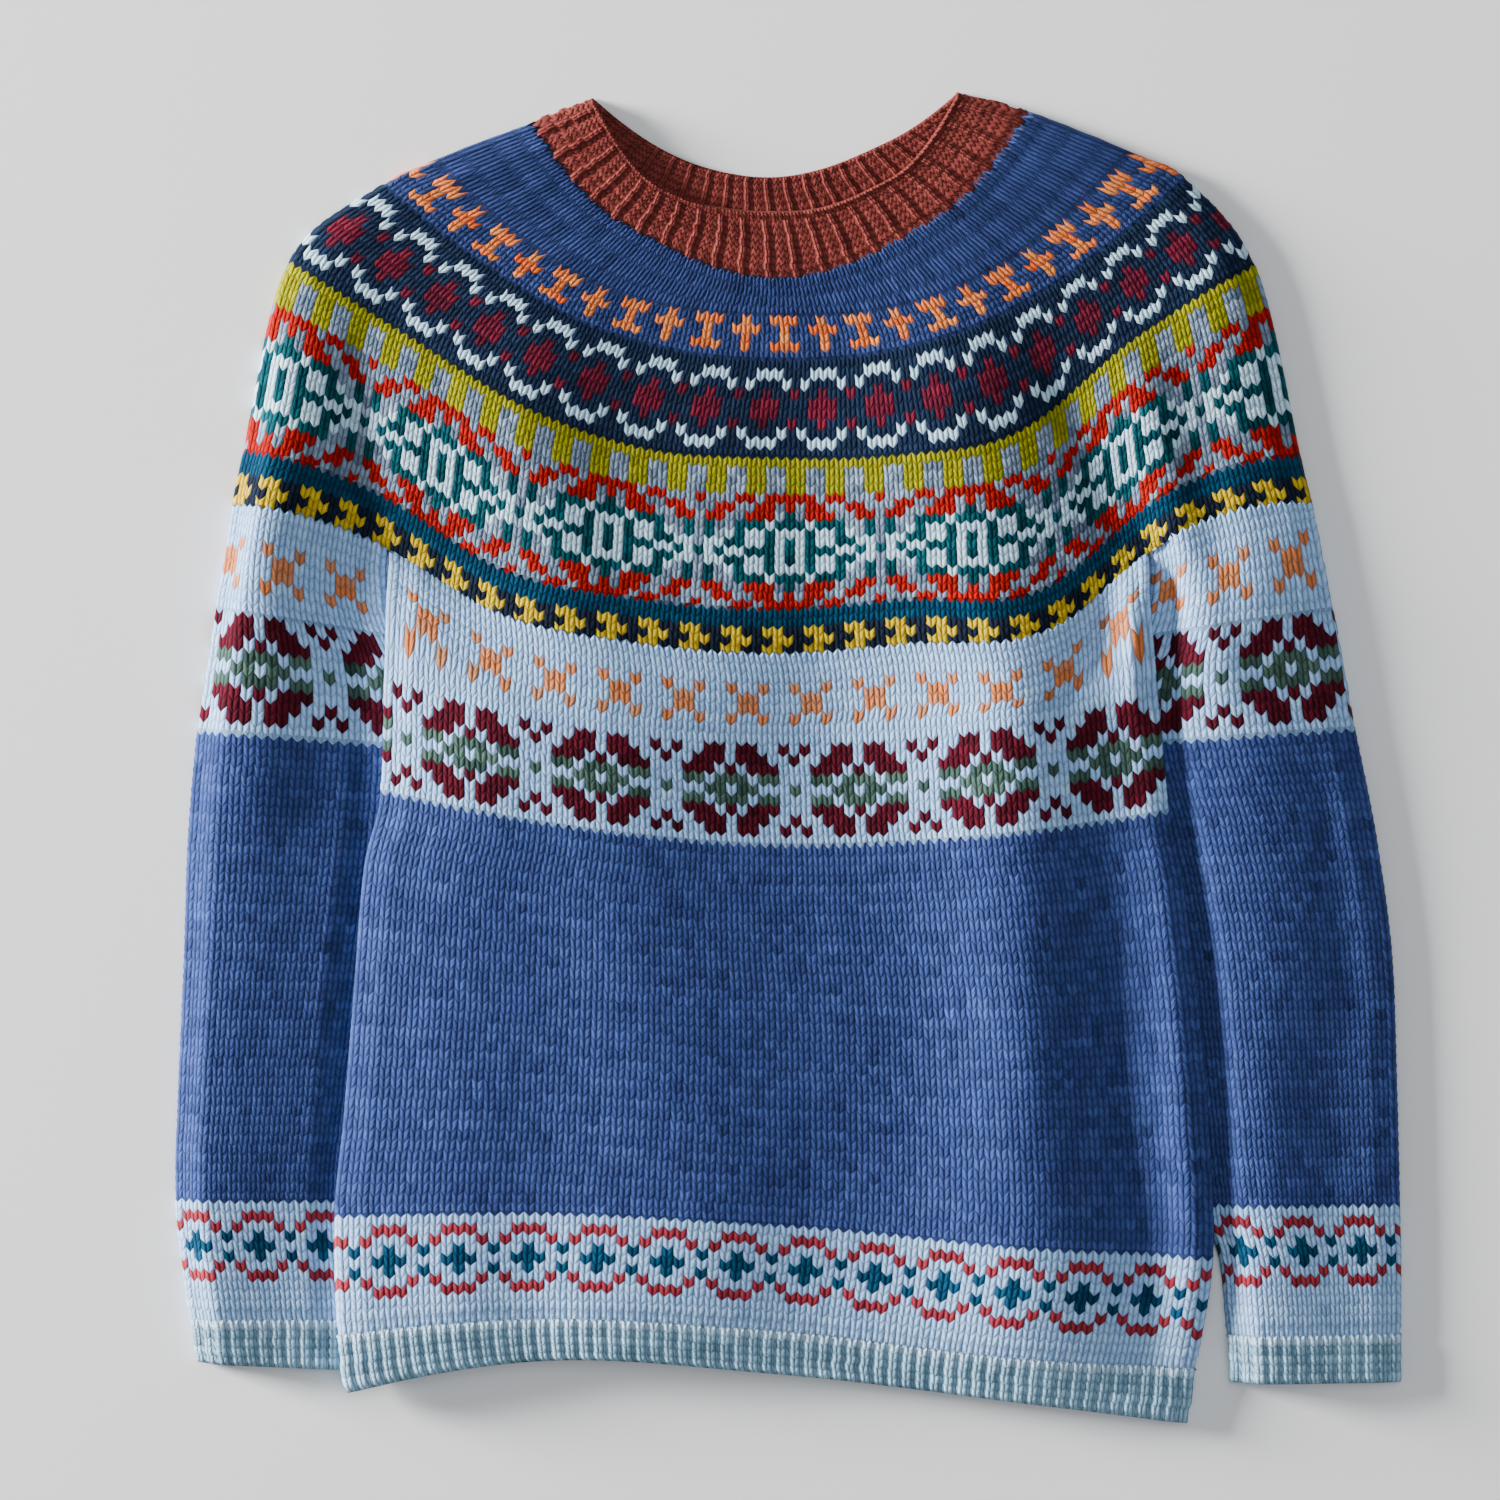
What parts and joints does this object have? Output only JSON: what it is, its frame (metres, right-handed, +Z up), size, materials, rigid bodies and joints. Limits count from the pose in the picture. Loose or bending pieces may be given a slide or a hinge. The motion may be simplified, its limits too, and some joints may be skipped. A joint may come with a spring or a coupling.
{
  "type": "fair isle jumper",
  "caption": "Long-sleeved crew-neck jumper knitted in the round in blue wool, with a patterned circular yoke, banded body and sleeves, and ribbed hem and cuffs, laid flat.",
  "frame": {"origin": "under the middle of the laid-out garment, on the surface it lies on", "axes": "+Y towards the neck, +X to the viewer's right, which is the wearer's left, and +Z up out of the front of the garment"},
  "size_m": [0.6148, 0.6662, 0.0154],
  "materials": {
    "neckband_wool": "matte red-brown wool",
    "yoke_wool": "matte wool in bands of many colours",
    "body_wool": "matte blue wool with patterned bands",
    "ribbing_wool": "matte grey-blue wool"
  },
  "bodies": {
    "root": {"neckband": "neckband_wool", "yoke": "yoke_wool", "body": "body_wool", "sleeve_left": "body_wool", "sleeve_right": "body_wool", "hem_rib": "ribbing_wool", "cuff_left": "ribbing_wool", "cuff_right": "ribbing_wool"}
  },
  "joints": []
}
